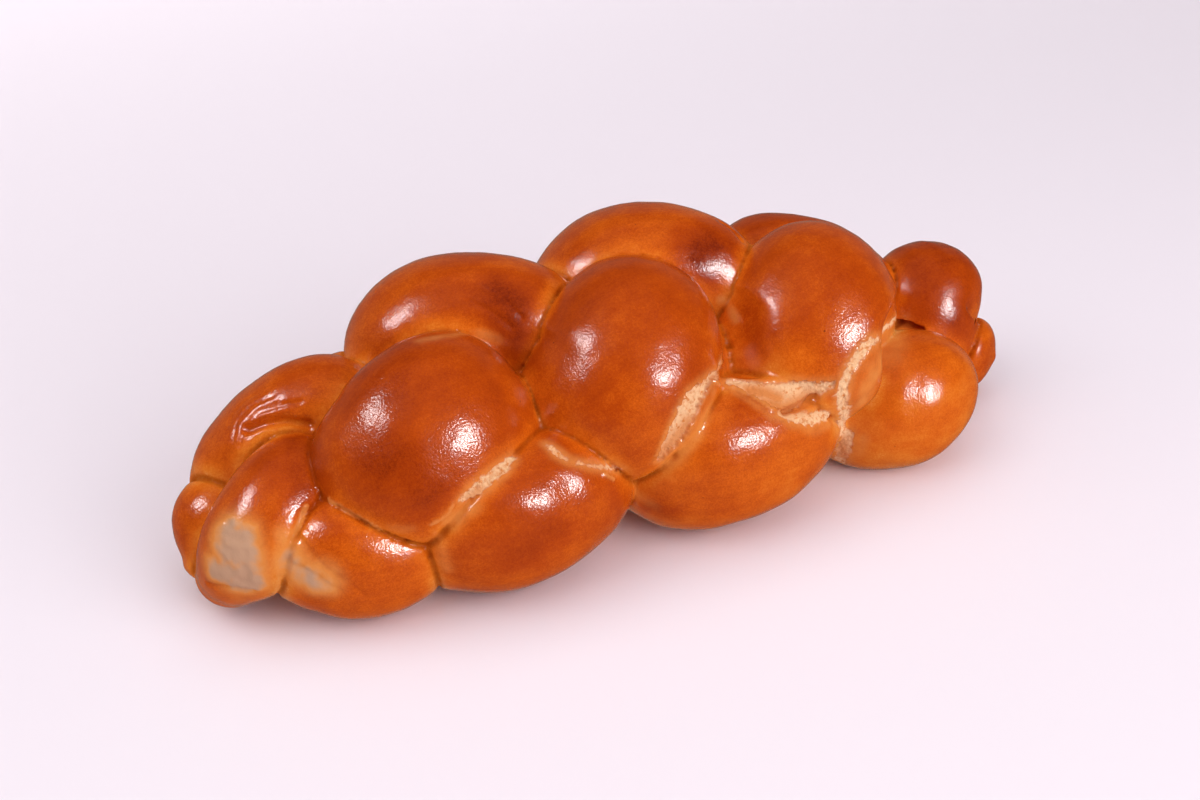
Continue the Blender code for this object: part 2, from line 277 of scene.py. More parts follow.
def meshOf(name, points, faces):
    mesh = bpy.data.meshes.new(name)
    mesh.from_pydata(points, [], faces)
    mesh.update()
    return mesh


def onePiece(points, faces, voxel):
    # one closed skin round all the tubes
    obj = bpy.data.objects.new("dough", meshOf("dough", points, faces))
    bpy.context.scene.collection.objects.link(obj)
    remesh = obj.modifiers.new("skin", "REMESH")
    remesh.mode = "VOXEL"
    remesh.voxel_size = voxel
    skin = bpy.data.meshes.new_from_object(obj.evaluated_get(bpy.context.evaluated_depsgraph_get()))
    bpy.data.objects.remove(obj)
    return skin


def outerShell(mesh):
    # drops the skins of the small hollows between the strands, and keeps the largest one
    edges = np.empty(len(mesh.edges) * 2, int)
    mesh.edges.foreach_get("vertices", edges)
    a, b = edges.reshape(-1, 2).T
    label = np.arange(len(mesh.vertices))
    while True:
        low = np.minimum(label[a], label[b])
        new = label.copy()
        np.minimum.at(new, a, low)
        np.minimum.at(new, b, low)
        new = new[new]
        if (new == label).all():
            break
        label = new
    keep = np.bincount(label).argmax()
    bm = bmesh.new()
    bm.from_mesh(mesh)
    bmesh.ops.delete(bm, geom=[v for v, own in zip(bm.verts, label) if own != keep], context="VERTS")
    bm.to_mesh(mesh)
    bm.free()


def pointsOf(mesh):
    points = np.empty(len(mesh.vertices) * 3)
    mesh.vertices.foreach_get("co", points)
    return points.reshape(-1, 3)


def normalsOf(mesh):
    normals = np.empty(len(mesh.vertices) * 3)
    mesh.vertex_normals.foreach_get("vector", normals)
    return normals.reshape(-1, 3)


def setPoints(mesh, points):
    mesh.vertices.foreach_set("co", points.ravel())
    mesh.update()


def smoothed(mesh, values, rounds, share=0.5):
    # share is how far each value moves towards its neighbours' mean in one round
    edges = np.empty(len(mesh.edges) * 2, int)
    mesh.edges.foreach_get("vertices", edges)
    a, b = edges.reshape(-1, 2).T
    count = np.bincount(a, minlength=len(values)) + np.bincount(b, minlength=len(values))
    values = values.reshape(len(values), -1).copy()
    for _ in range(rounds):
        around = np.empty_like(values)
        for column, v in enumerate(values.T):
            around[:, column] = np.bincount(a, v[b], len(v)) + np.bincount(b, v[a], len(v))
        values += share * (around / np.maximum(count, 1)[:, None] - values)
    return values if values.shape[1] > 1 else values[:, 0]


def strokeField(points, stroke):
    # how far each point is from a given line, and where along it, from 0 to 1
    stroke = np.array(stroke, float)
    if len(stroke) == 1:
        return np.linalg.norm(points - stroke[0], axis=1), np.zeros(len(points))
    best, where = np.full(len(points), 1e9), np.zeros(len(points))
    for i, (start, end) in enumerate(zip(stroke, stroke[1:])):
        way = end - start
        t = np.clip((points - start) @ way / (way @ way), 0, 1)
        far = np.linalg.norm(points - start - t[:, None] * way, axis=1)
        near = far < best
        best[near] = far[near]
        where[near] = (i + t[near]) / (len(stroke) - 1)
    return best, where


def ripple(points, size, seed, octaves=2):
    # seeded noise from about -1 to 1, with lumps of the given size
    shift = Vector((11.3 * seed, 5.7 * seed, 3.1 * seed))
    return np.array([noise.fractal(Vector(p) + shift, 1.0, 2.0, octaves) for p in points / size])


def surfaceOf(points, faces):
    return bvhtree.BVHTree.FromPolygons(points.tolist(), faces)


def treeOf(points):
    tree = kdtree.KDTree(len(points))
    for i, point in enumerate(points):
        tree.insert(point, i)
    tree.balance()
    return tree


# where the photograph was taken from, in the baker's millimetres: all marks below are pixels of its
# 1200 x 800 frame, and each is carried on to the skin that lies behind it
view = {"aim": (0.0, 0.0, 40.0), "azimuth": -26.0, "height": 33.0, "distance": 560.0, "lens": 45.0,
        "sensor": 36.0, "width": 1200, "tall": 800}


def viewAxes():
    azimuth, height = math.radians(view["azimuth"]), math.radians(view["height"])
    level = math.cos(height)
    back = Vector((math.sin(azimuth) * level, -math.cos(azimuth) * level, math.sin(height)))
    right = Vector((math.cos(azimuth), math.sin(azimuth), 0.0))
    return right, back.cross(right), back


def onSkin(skin, pixels):
    right, up, back = viewAxes()
    eye = Vector(view["aim"]) + back * view["distance"]
    focal = view["lens"] / view["sensor"] * view["width"]
    places = []
    for x, y in pixels:
        way = right * (x - view["width"] / 2) + up * (view["tall"] / 2 - y) - back * focal
        hit = skin.ray_cast(eye, way.normalized())[0]
        if hit is not None:
            places.append(hit)
    return places


# the torn crumb: pixels along the middle of each tear, half widths along it in mm, and how deep it sits
tornCrumb = {
    "from T2 to C": ([(721, 361), (710, 380), (694, 400), (688, 414), (679, 432), (668, 450), (661, 459)],
                     [0.7, 1.6, 4.0, 5.0, 4.6, 3.2, 1.2], 1.5),
    "from T3 to C": ([(716, 379), (735, 381), (752, 386), (770, 394), (788, 396), (806, 392), (832, 386)],
                     [0.8, 1.8, 3.0, 5.0, 5.4, 3.8, 1.4], 1.3),
    "on C": ([(781, 415), (797, 418), (812, 419), (829, 416)], [1.2, 2.2, 2.6, 1.2], 0.5),
    "from C to D": ([(897, 316), (884, 329), (870, 342), (859, 356), (850, 370), (844, 385), (843, 403),
                     (845, 420), (847, 437), (843, 455), (840, 462)],
                    [0.5, 1.4, 1.9, 1.9, 1.9, 2.0, 2.1, 2.2, 2.4, 2.6, 2.2], 0.4),
    "from T1 to B": ([(512, 459), (500, 470), (484, 483), (472, 493), (463, 501)],
                     [0.9, 1.9, 2.0, 1.9, 0.9], 0.4),
    "from T2 to B": ([(546, 445), (556, 453), (566, 460)], [0.5, 1.2, 0.7], 0.3),
    "low between T2 and B": ([(572, 462), (590, 466), (606, 468), (620, 469)], [0.3, 0.6, 0.7, 0.3], 0.2),
}

# thin pale edges where the glazed skin was pulled away: pixels, half width and height in mm
lips = [
    ([(722, 362), (706, 381), (692, 391), (674, 414), (663, 436), (656, 455)], 0.8, 0.5),
    ([(716, 382), (733, 387), (746, 392), (759, 400), (772, 409)], 1.1, 0.8),
    ([(329, 500), (347, 511), (365, 520), (380, 529)], 0.9, 0.7),
    ([(453, 504), (448, 514), (440, 520), (430, 525)], 0.8, 0.5),
    ([(604, 474), (609, 478), (613, 479)], 0.7, 0.7),
    ([(722, 300), (731, 311), (735, 322)], 1.3, 0.2),
    ([(470, 331), (487, 333), (497, 336)], 0.8, 0.3),
    ([(305, 507), (300, 521), (292, 535), (285, 552), (279, 572), (275, 592)], 1.1, 0.6),
    ([(634, 481), (636, 495), (638, 505)], 1.0, 0.3),
    ([(434, 532), (441, 548), (447, 572)], 1.3, 0.3),
]

# where two strands have grown together and the crease between them is gone: pixels, half width, share
grownTogether = [
    ([(887, 338), (883, 355), (878, 375), (868, 394)], 4.0, 1.0),
]

# thin folds and cracks: pixels, half width and depth in mm
folds = [
    ([(786, 411), (795, 408), (805, 404), (816, 400)], 1.3, 2.6),
    ([(302, 512), (296, 527), (288, 545), (282, 560), (277, 580), (275, 598)], 0.9, 1.2),
    ([(206, 585), (220, 588), (236, 590), (252, 592)], 0.8, 0.9),
    ([(297, 539), (310, 556), (325, 568), (340, 576)], 0.6, 0.4),
    ([(336, 574), (352, 584), (366, 596)], 0.6, 0.5),
    ([(246, 429), (262, 423), (285, 421), (308, 425)], 1.6, 2.6),
    ([(700, 207), (722, 222), (742, 240)], 1.0, 1.2),
    ([(232, 440), (236, 420), (250, 405), (272, 396)], 0.6, 0.35),
    ([(238, 446), (243, 426), (256, 411), (278, 402)], 0.6, 0.4),
    ([(226, 430), (232, 412), (246, 398), (266, 390)], 0.6, 0.3),
    ([(250, 420), (262, 411), (284, 404), (300, 402)], 0.7, 0.5),
    ([(293, 530), (310, 552), (335, 575)], 0.6, 0.5),
    ([(300, 525), (322, 548), (352, 566)], 0.5, 0.35),
    ([(285, 562), (310, 572), (340, 590)], 0.6, 0.45),
    ([(478, 286), (505, 300), (522, 318)], 0.8, 0.4),
    ([(468, 300), (492, 312), (512, 328)], 0.7, 0.35),
    ([(880, 324), (893, 319), (905, 311)], 0.6, 0.3),
    ([(337, 508), (352, 516), (366, 524)], 0.8, 1.4),
]

# crumb that was torn early and toasted, and painted shade down in the cracks and under the overhanging lobes:
# pixels, half width in mm, how strongly
toastsAndShade = [
    ([(690, 428), (674, 446), (662, 458)], 4.5, 0.75),
    ([(768, 402), (786, 408), (812, 402)], 3.6, 0.9),
    ([(716, 381), (740, 386)], 2.2, 0.5),
    ([(752, 389), (768, 392), (780, 397)], 3.0, 0.9),
    ([(841, 440), (844, 458)], 2.4, 0.7),
    ([(560, 456), (600, 468)], 3.0, 0.6),
    ([(470, 500), (480, 490)], 2.0, 0.6),
    ([(846, 400), (846, 425)], 1.2, 0.4),
]

# dull pale patches of skin that the glaze and the heat missed: pixels, half width in mm, how strongly
patches = [
    ([(232, 542), (238, 562), (240, 580)], 8.5, 1.05),
    ([(215, 572), (250, 583)], 6.0, 1.0),
    ([(290, 562), (305, 575), (322, 580)], 6.5, 0.76),
    ([(283, 535), (288, 560)], 3.5, 0.5),
    ([(452, 520), (462, 512), (470, 505)], 4.0, 0.45),
    ([(438, 542), (446, 568)], 3.0, 0.3),
    ([(640, 496), (652, 506)], 3.2, 0.3),
    ([(664, 464), (676, 458)], 3.5, 0.4),
    ([(714, 395), (704, 418), (694, 438), (682, 452)], 3.0, 0.45),
    ([(842, 390), (838, 430), (838, 452)], 3.5, 0.45),
    ([(855, 455), (862, 440)], 3.5, 0.35),
    ([(735, 392), (755, 405), (772, 418)], 1.8, 0.35),
    ([(790, 424), (815, 431), (830, 424)], 2.4, 0.35),
    ([(905, 322), (885, 345), (868, 368), (860, 395)], 4.0, 0.3),
    ([(722, 300), (733, 318)], 2.0, 0.5),
    ([(390, 529), (410, 529)], 2.0, 0.3),
    ([(420, 340), (450, 335), (480, 334), (497, 340)], 2.2, 0.36),
    ([(888, 344), (880, 362), (872, 382), (864, 402)], 7.0, 0.45),
]

# places painted darker: painted shade where a neighbouring lobe shades the crust, in corners and near the tray, and
# crust baked browner; paler where the last number is negative: pixels, half width in mm, how much
scorchesAndShade = [
    ([(700, 262), (714, 244)], 10.0, 0.4),
    ([(500, 296), (514, 320), (514, 344)], 8.0, 0.36),
    ([(250, 500), (262, 470)], 8.0, 0.08),
    ([(655, 500), (720, 505)], 7.0, 0.06),
    ([(960, 320), (955, 350)], 6.0, 0.08),
    ([(520, 560), (548, 535)], 7.0, 0.1),
    ([(308, 495), (311, 470), (306, 440)], 6.0, 0.36),
    ([(385, 470), (420, 492)], 9.0, 0.16),
    ([(984, 350), (976, 366)], 6.0, 0.12),
    ([(640, 505), (672, 512)], 4.0, 0.15),
    ([(180, 500), (176, 540)], 8.0, 0.06),
    ([(898, 330), (880, 352), (864, 380)], 6.0, -0.14),
    ([(815, 360), (780, 362)], 7.0, -0.14),
]

# dents pressed into the lobes: pixels, half width and depth in mm
dents = [
    ([(742, 328), (750, 350)], 8.0, 2.4),
    ([(741, 313), (748, 313)], 3.0, 0.5),
    ([(570, 490), (578, 512)], 4.5, 0.5),
    ([(917, 384), (914, 410)], 3.0, 0.4),
    ([(703, 250), (722, 268)], 7.0, 0.8),
]


# the noises of the skin: size of the lumps in mm, seed, octaves
skinNoise = {
    "lumps": (38, 1, 2), "smallLumps": (13, 2, 2), "fine": (2.6, 5, 2), "crinkles": (8.0, 11, 3),
    "patchEdge": (5.0, 12, 3), "crumbEdge": (2.2, 3, 3), "crumbLumps": (3.0, 7, 3), "crumbGrain": (1.1, 8, 2),
    "pits": (1.5, 9, 2),
}

# heights and half widths of the skin's relief in mm; each share is how strongly something counts
relief = {
    "lumps": 0.9, "smallLumps": 0.25, "fine": 0.05, "crinkles": 1.2, "crumbLumps": 0.55, "crumbGrain": 0.25,
    "pits": 0.25, "groove": 2.0, "grooveHalf": 0.8, "haloHalf": 2.6,
    "haloShare": 0.45, "patchShare": 0.35, "lipShare": 0.5, "topShare": 0.14, "pitShadeShare": 0.4,
}


def noiseOf(points, name):
    return ripple(points, *skinNoise[name])


def markField(skin, points, mark):
    # distance from a mark, and the share of the way along it
    return strokeField(points, onSkin(skin, mark))


def crumbField(skin, points):
    # 1 in the torn crumb and 0 on the crust, with a ragged edge, and how deep the crumb sits there
    rag = noiseOf(points, "crumbEdge")
    mask, depth, zone = np.zeros(len(points)), np.zeros(len(points)), np.full(len(points), 99.0)
    for line, halves, low in tornCrumb.values():
        far, where = markField(skin, points, line)
        edge = far - np.interp(where, np.linspace(0, 1, len(halves)), halves)
        inside = ease(0.5, -0.5, edge - rag)
        mask = np.maximum(mask, inside)
        depth = np.maximum(depth, low * inside)
        zone = np.minimum(zone, edge)
    return mask, depth, zone


def paint(skin, points, marks, soft):
    # the strongest of the marks at each point: 1 on the line, fading round its half width
    mask = np.zeros(len(points))
    for line, half, strength in marks:
        far, _ = markField(skin, points, line)
        mask = np.maximum(mask, strength * ease(half * (1 + soft), half * (1 - soft), far))
    return mask


# how browned each lobe is, from 0 for golden to 1 for deep brown
browning = {
    "T0": 0.52, "T1": 0.64, "T2": 0.60, "T3": 0.56, "T4": 0.70, "BT0": 0.48, "BT1": 0.52, "BT2": 0.47,
    "BT3": 0.66, "A": 0.58, "B": 0.64, "C": 0.50, "D": 0.40, "LA": 0.44, "LB": 0.50, "LC": 0.50, "LD": 0.50,
    "LE": 0.50, "under": 0.35, "belly": 0.45, "tail": 0.55,
}


def finerFaces(mesh, chosen, cuts):
    # splits the faces round the chosen vertices, so that the crumb can be rough
    bm = bmesh.new()
    bm.from_mesh(mesh)
    bm.verts.ensure_lookup_table()
    picked = set(np.flatnonzero(chosen).tolist())
    edges = [e for e in bm.edges if e.verts[0].index in picked and e.verts[1].index in picked]
    bmesh.ops.subdivide_edges(bm, edges=edges, cuts=cuts, use_grid_fill=True)
    bm.to_mesh(mesh)
    bm.free()
    mesh.update()


def fewer(loaf, most):
    # merges the flattest faces first, so that the creases and the crumb stay fine
    corners = sum(len(p.vertices) - 2 for p in loaf.data.polygons)
    thin = loaf.modifiers.new("thin out", "DECIMATE")
    thin.ratio = min(1.0, most / corners)
    mesh = bpy.data.meshes.new_from_object(loaf.evaluated_get(bpy.context.evaluated_depsgraph_get()))
    loaf.modifiers.clear()
    loaf.data = mesh
    setPoints(mesh, np.maximum(pointsOf(mesh), (-1, -1, 0)))
    mesh.shade_smooth()


def insideBox(points):
    # draws in, by a hair, each side that would stand out of the solid's box
    gap = braid["boxGap"] * mm
    for axis, side, way in ((0, 0, -1), (0, 1, 1), (1, 0, -1), (1, 1, 1), (2, 1, 1)):
        reach = (points[:, axis] * way).max()
        room = cadBox[side][axis] * way - gap
        outer = points[:, axis] * way > 0
        points[outer, axis] *= min(1.0, room / reach)
    return points


def buildLoaf():
    tubes = strandTubes()
    parts = [(t["points"], t["faces"]) for t in tubes] + [heartTube()]
    parts += [tearTube(*tear) for tear in braid["tears"].values()]
    mesh = onePiece(*joined(parts), braid["voxel"])
    outerShell(mesh)
    points = pointsOf(mesh)
    skin = surfaceOf(points, [list(p.vertices) for p in mesh.polygons])
    finerFaces(mesh, crumbField(skin, points)[2] < 1.0, 2)
    points = pointsOf(mesh)
    print("one skin of", len(points), "points")

    # which strand each point of the skin belongs to, and how far the next strand's surface is
    surfaces = [surfaceOf(t["points"], t["faces"]) for t in tubes]
    gaps = np.array([[surface.find_nearest(p)[3] for p in points] for surface in surfaces])
    own = gaps.argmin(axis=0)
    seam = np.partition(gaps, 1, axis=0)[1]
    ring = np.empty(len(points), int)
    for s, t in enumerate(tubes):
        tree = treeOf(t["points"])
        for i in np.flatnonzero(own == s):
            ring[i] = min(tree.find(points[i])[1] // braid["sides"], len(t["run"]) - 1)
    bakeAndShade = np.empty(len(points))
    strandCoordinate = np.empty((len(points), 3))
    for s, t in enumerate(tubes):
        mine = own == s
        r = ring[mine]
        bakeAndShade[mine] = np.array([browning[name] for name in t["lobes"]])[r]
        strandCoordinate[mine, 0] = t["length"][r] + 1000 * s
        strandCoordinate[mine, 1:] = (points[mine] - t["run"][r, :3])[:, 1:]
    bakeAndShade = smoothed(mesh, bakeAndShade, 30)
    print("strands told apart")

    mask, depth, zone = crumbField(skin, points)
    lip = paint(skin, points, lips, 0.6)
    fold = paint(skin, points, folds, 0.7)
    dent = sum(low * paint(skin, points, [(line, half, 1.0)], 0.95) for line, half, low in dents)
    pale = paint(skin, points, patches, 0.9) * (1 + relief["patchShare"] * noiseOf(points, "patchEdge"))
    halo = relief["haloShare"] * np.exp(-(np.maximum(zone, 0) / relief["haloHalf"]) ** 2)
    pale = np.maximum(np.maximum(pale, halo), relief["lipShare"] * ease(0.1, 0.5, lip))
    pale = np.clip(pale, 0, 1) * (1 - mask)
    # the painted shade and the browner crust of these marks go into the browning
    for line, half, amount in scorchesAndShade:
        bakeAndShade += amount * paint(skin, points, [(line, half, 1.0)], 0.9)
    seam = smoothed(mesh, seam, 2) + 4 * paint(skin, points, grownTogether, 0.6)
    points = smoothed(mesh, points, 4, 0.15 + 0.35 * ease(0.5, 4.0, seam)[:, None])
    setPoints(mesh, points)
    normals = normalsOf(mesh)
    tops = smoothed(mesh, normals[:, 2], 20) - 0.45
    bakeAndShade += relief["topShare"] * tops   # the tops of the lobes brown first
    lumps = (relief["lumps"] * noiseOf(points, "lumps")
             + relief["smallLumps"] * noiseOf(points, "smallLumps"))
    fine = relief["fine"] * noiseOf(points, "fine")
    # the pits are sunk into the crumb and also painted darker, as their shade
    pitAndShade = ease(0.10, 0.60, noiseOf(points, "pits"))
    toastAndShade = paint(skin, points, toastsAndShade, 0.8)
    rough = (relief["crumbLumps"] * noiseOf(points, "crumbLumps")
             + relief["crumbGrain"] * noiseOf(points, "crumbGrain") - relief["pits"] * pitAndShade)
    crinkle = relief["crinkles"] * (0.25 - np.abs(noiseOf(points, "crinkles"))) * ease(0.5, 0.9, pale)
    groove = relief["groove"] * np.exp(-(seam / relief["grooveHalf"]) ** 2) * (1 - mask)
    inner = ease(0, 9, seam)
    shift = lumps * inner + fine * (1 - mask) + mask * rough - depth - groove + lip - fold - dent + crinkle
    points = points + normals * shift[:, None]

    floor = braid["middle"][2]
    points[:, 2] = np.maximum(points[:, 2], floor)
    points = (points - np.array(braid["middle"])) * mm
    points = insideBox(points)
    setPoints(mesh, points)

    # the browning carries painted shade as well, and the crumb's pits and cracks are painted darker as their shade
    for name, values in (("bakeAndShade", bakeAndShade), ("seam", seam), ("pale", pale), ("crumb", mask),
                         ("pitAndShade", np.maximum(relief["pitShadeShare"] * pitAndShade, toastAndShade))):
        layer = mesh.attributes.new(name, "FLOAT", "POINT")
        layer.data.foreach_set("value", values.astype(np.float32))
    layer = mesh.attributes.new("strand", "FLOAT_VECTOR", "POINT")
    layer.data.foreach_set("vector", strandCoordinate.astype(np.float32).ravel())
    loaf = bpy.data.objects.new("kalacsCrust", mesh)
    bpy.context.scene.collection.objects.link(loaf)
    fewer(loaf, braid["triangles"])
    print("loaf", sum(len(p.vertices) - 2 for p in loaf.data.polygons), "triangles")
    return loaf


def node(tree, kind, settings=None, **values):
    made = tree.nodes.new(kind)
    for key, value in (settings or {}).items():
        setattr(made, key, value)
    for key, value in values.items():
        made.inputs[key].default_value = value
    return made


def mathNode(tree, operation, first, second=None, third=None):
    made = node(tree, "ShaderNodeMath", {"operation": operation})
    for i, value in enumerate((first, second, third)):
        if value is None:
            continue
        if isinstance(value, (int, float)):
            made.inputs[i].default_value = value
        else:
            tree.links.new(value, made.inputs[i])
    return made.outputs[0]


def mixColour(tree, share, first, second):
    made = node(tree, "ShaderNodeMix", {"data_type": "RGBA"})
    for socket, value in ((made.inputs[0], share), (made.inputs[6], first), (made.inputs[7], second)):
        if isinstance(value, (int, float, tuple)):
            socket.default_value = value
        else:
            tree.links.new(value, socket)
    return made.outputs[2]


def remap(tree, value, low, high, outLow=0.0, outHigh=1.0):
    made = node(tree, "ShaderNodeMapRange", {"interpolation_type": "SMOOTHSTEP"})
    tree.links.new(value, made.inputs[0])
    for i, number in enumerate((low, high, outLow, outHigh)):
        made.inputs[i + 1].default_value = number
    return made.outputs[0]


crustLook = {
    "ramp": [(0.00, (0.78, 0.34, 0.08)), (0.18, (0.74, 0.20, 0.018)), (0.38, (0.64, 0.115, 0.0050)),
             (0.60, (0.45, 0.058, 0.0022)), (0.80, (0.33, 0.036, 0.0018)), (1.00, (0.18, 0.014, 0.001))],
    "pale": (0.49, 0.28, 0.175), "paleWarm": (0.72, 0.27, 0.065),
    # the deeper crumb colour is toasted crumb and the painted shade in its holes and cracks
    "crumbLight": (0.85, 0.52, 0.29), "crumbToastAndShade": (0.64, 0.20, 0.045),
    # the crease colour is the painted shade down in each crease, and its share how strongly it is painted
    "speck": (0.10, 0.012, 0.003), "speckShare": 0.7, "crease": (0.20, 0.020, 0.001), "creaseShadeShare": 0.60,
    "rimPaler": 0.38,
    "specks": (0.16, 0.075, 0.22),   # cells for each mm, widest dot, share of the cells
    "hollows": (0.55, 0.46, 0.74, 3.0),   # painted shade in the small holes of the crumb, at random places: scale for each mm, low and high limit, detail
    # what makes the browning uneven: scale for each mm, low and high limit, detail, how much it counts
    "uneven": {"clouds": (0.045, 0.3, 0.7, 2.0, 0.12), "blotches": (0.16, 0.3, 0.7, 4.0, 0.08),
               "grain": (1.1, 0.25, 0.75, 2.0, 0.10), "flecks": (2.6, 0.30, 0.70, 1.0, 0.10),
               "streaks": (0.35, 0.3, 0.7, 3.0, 0.06)},
    "streakSquash": 0.12,
    # the finest relief: scale for each mm, detail, height in bump depths
    "fineRelief": {"pores": (1.3, 2.0, 1.0), "dimples": (0.3, 2.0, 0.8), "fibres": (0.8, 3.0, 7.0)},
    "streakRelief": 0.2, "bumpDepth": 0.00005,
    "coatRoughness": 0.14, "coatIor": 1.47, "roughness": 0.7,
}


def crustMaterial():
    material = bpy.data.materials.new("egg washed crust")
    material.use_nodes = True
    tree = material.node_tree
    shader = tree.nodes["Principled BSDF"]
    place = node(tree, "ShaderNodeTexCoord")
    inMillimetres = node(tree, "ShaderNodeVectorMath", {"operation": "SCALE"}, Scale=1000.0)
    tree.links.new(place.outputs["Object"], inMillimetres.inputs[0])
    where = inMillimetres.outputs[0]

    def attribute(name, output="Fac"):
        return node(tree, "ShaderNodeAttribute", {"attribute_name": name}).outputs[output]

    def mottled(vector, scale, low, high, detail):
        # soft blotches: noise of a given size, spread between two limits
        cloud = node(tree, "ShaderNodeTexNoise", Scale=scale, Detail=detail)
        tree.links.new(vector, cloud.inputs["Vector"])
        return remap(tree, cloud.outputs["Fac"], low, high)

    def specked(scale, widest, share):
        # scattered round specks: a few of the cells of a grid keep a dot at their middle
        cells = node(tree, "ShaderNodeTexVoronoi", Scale=scale)
        tree.links.new(where, cells.inputs["Vector"])
        parts = node(tree, "ShaderNodeSeparateColor")
        tree.links.new(cells.outputs["Color"], parts.inputs[0])
        kept = mathNode(tree, "LESS_THAN", parts.outputs[0], share)
        size = mathNode(tree, "MULTIPLY", parts.outputs[1], widest)
        dot = mathNode(tree, "LESS_THAN", cells.outputs["Distance"], size)
        return mathNode(tree, "MULTIPLY", kept, dot)

    bakeAndShade, seam, pale, torn = attribute("bakeAndShade"), attribute("seam"), attribute("pale"), attribute("crumb")
    stretched = node(tree, "ShaderNodeVectorMath", {"operation": "MULTIPLY"})
    stretched.inputs[1].default_value = (crustLook["streakSquash"], 1.0, 1.0)
    tree.links.new(attribute("strand", "Vector"), stretched.inputs[0])
    masks = {}
    for name, (scale, low, high, detail, _) in crustLook["uneven"].items():
        masks[name] = mottled(stretched.outputs[0] if name == "streaks" else where, scale, low, high, detail)

    # how baked, with the painted shade of the darker marks: the lobe's own browning, less towards the seams, uneven
    # at several sizes
    uneven = remap(tree, masks["clouds"], 0.2, 0.9, 0.5, 1.0)
    rim = mathNode(tree, "MULTIPLY", remap(tree, seam, 0.5, 8.0, -crustLook["rimPaler"], 0.0), uneven)
    level = mathNode(tree, "ADD", bakeAndShade, rim)
    for name, (*_, amount) in crustLook["uneven"].items():
        shifted = mathNode(tree, "MULTIPLY_ADD", masks[name], amount, -amount / 2)
        level = mathNode(tree, "ADD", level, shifted)
    ramp = node(tree, "ShaderNodeValToRGB")
    stops = ramp.color_ramp.elements
    while len(stops) < len(crustLook["ramp"]):
        stops.new(0.5)
    for stop, (position, colour) in zip(stops, crustLook["ramp"]):
        stop.position = position
        stop.color = (*colour, 1.0)
    tree.links.new(level, ramp.inputs[0])
    colour = ramp.outputs[0]

    # over it the specks, the painted shade down in each crease, the pale skin and the crumb
    dots = mathNode(tree, "MULTIPLY", specked(*crustLook["specks"]), remap(tree, seam, 3.0, 8.0))
    dots = mathNode(tree, "MULTIPLY", dots, crustLook["speckShare"])
    colour = mixColour(tree, dots, colour, (*crustLook["speck"], 1.0))
    baked = remap(tree, pale, 0.1, 0.4, 1.0, 0.2)
    # painted shade in the creases, kept off the pale skin
    crease = mathNode(tree, "MULTIPLY", remap(tree, seam, 0.3, 1.8, crustLook["creaseShadeShare"], 0.0), baked)
    colour = mixColour(tree, crease, colour, (*crustLook["crease"], 1.0))
    colour = mixColour(tree, remap(tree, pale, 0.0, 0.85), colour, (*crustLook["paleWarm"], 1.0))
    colour = mixColour(tree, remap(tree, pale, 0.55, 1.0), colour, (*crustLook["pale"], 1.0))
    # painted shade in the crumb's pits, holes and cracks, together with its toasted parts
    deep = mathNode(tree, "MAXIMUM", attribute("pitAndShade"), mottled(where, *crustLook["hollows"]))
    crumbTone = mixColour(tree, deep, (*crustLook["crumbLight"], 1.0), (*crustLook["crumbToastAndShade"], 1.0))
    colour = mixColour(tree, torn, colour, crumbTone)
    tree.links.new(colour, shader.inputs["Base Color"])

    # the egg wash is a thin clear coat, which the creases, the pale skin and the crumb don't have
    bare = mathNode(tree, "MAXIMUM", remap(tree, seam, 0.5, 2.0, 1.0, 0.0), torn)
    bare = mathNode(tree, "MAXIMUM", bare, remap(tree, pale, 0.2, 0.9))
    tree.links.new(mathNode(tree, "SUBTRACT", 1.0, bare), shader.inputs["Coat Weight"])
    shader.inputs["Coat Roughness"].default_value = crustLook["coatRoughness"]
    shader.inputs["Coat IOR"].default_value = crustLook["coatIor"]
    shader.inputs["Roughness"].default_value = crustLook["roughness"]
    shader.inputs["Specular IOR Level"].default_value = 0.0

    # the finest relief, which breaks up the highlights, and the fibres of the crumb
    heights = {}
    for name, (scale, detail, height) in crustLook["fineRelief"].items():
        heights[name] = mathNode(tree, "MULTIPLY", mottled(where, scale, 0.2, 0.8, detail), height)
    raised = mathNode(tree, "ADD", heights["pores"], heights["dimples"])
    drawn = mathNode(tree, "MULTIPLY", masks["streaks"], crustLook["streakRelief"])
    raised = mathNode(tree, "ADD", raised, drawn)
    raised = mathNode(tree, "ADD", raised, mathNode(tree, "MULTIPLY", torn, heights["fibres"]))
    bump = node(tree, "ShaderNodeBump", Strength=1.0, Distance=crustLook["bumpDepth"])
    tree.links.new(raised, bump.inputs["Height"])
    tree.links.new(bump.outputs[0], shader.inputs["Normal"])
    tree.links.new(bump.outputs[0], shader.inputs["Coat Normal"])
    print("crust browned and glazed")
    return material


studio = {
    "floor": (0.86, 0.78, 0.845), "floorHalf": 4.0,
    # name, direction from the loaf, distance, size, watts, whether it lights and whether the crust mirrors it
    "lights": [
        ("rightPanel", (0.40, -0.80, 0.45), 1.5, 1.3, 16.0, True, False),
        ("rightLamp", (0.40, -0.80, 0.45), 1.5, 0.32, 37.0, False, True),
        ("leftPanel", (-0.65, 0.05, 0.70), 1.5, 1.3, 9.0, True, False),
        ("leftLamp", (-0.65, 0.05, 0.70), 1.5, 0.32, 28.0, False, True),
        ("ceiling", (0.0, 0.0, 1.0), 2.4, 3.0, 29.0, True, False),
    ],
    "strip": {"place": (0.1, 1.15, 1.7), "size": (3.4, 0.9), "spread": 50.0, "watts": 7.0},
    # what lights the loaf evenly, and the room that the crust mirrors: its back wall, the rest, what is below
    "sky": (0.95, 0.90, 0.96), "fill": 0.26,
    "mirrored": (0.95, 0.68, 0.55), "skyBack": 0.20, "skyRound": 0.02, "below": 0.09,
}


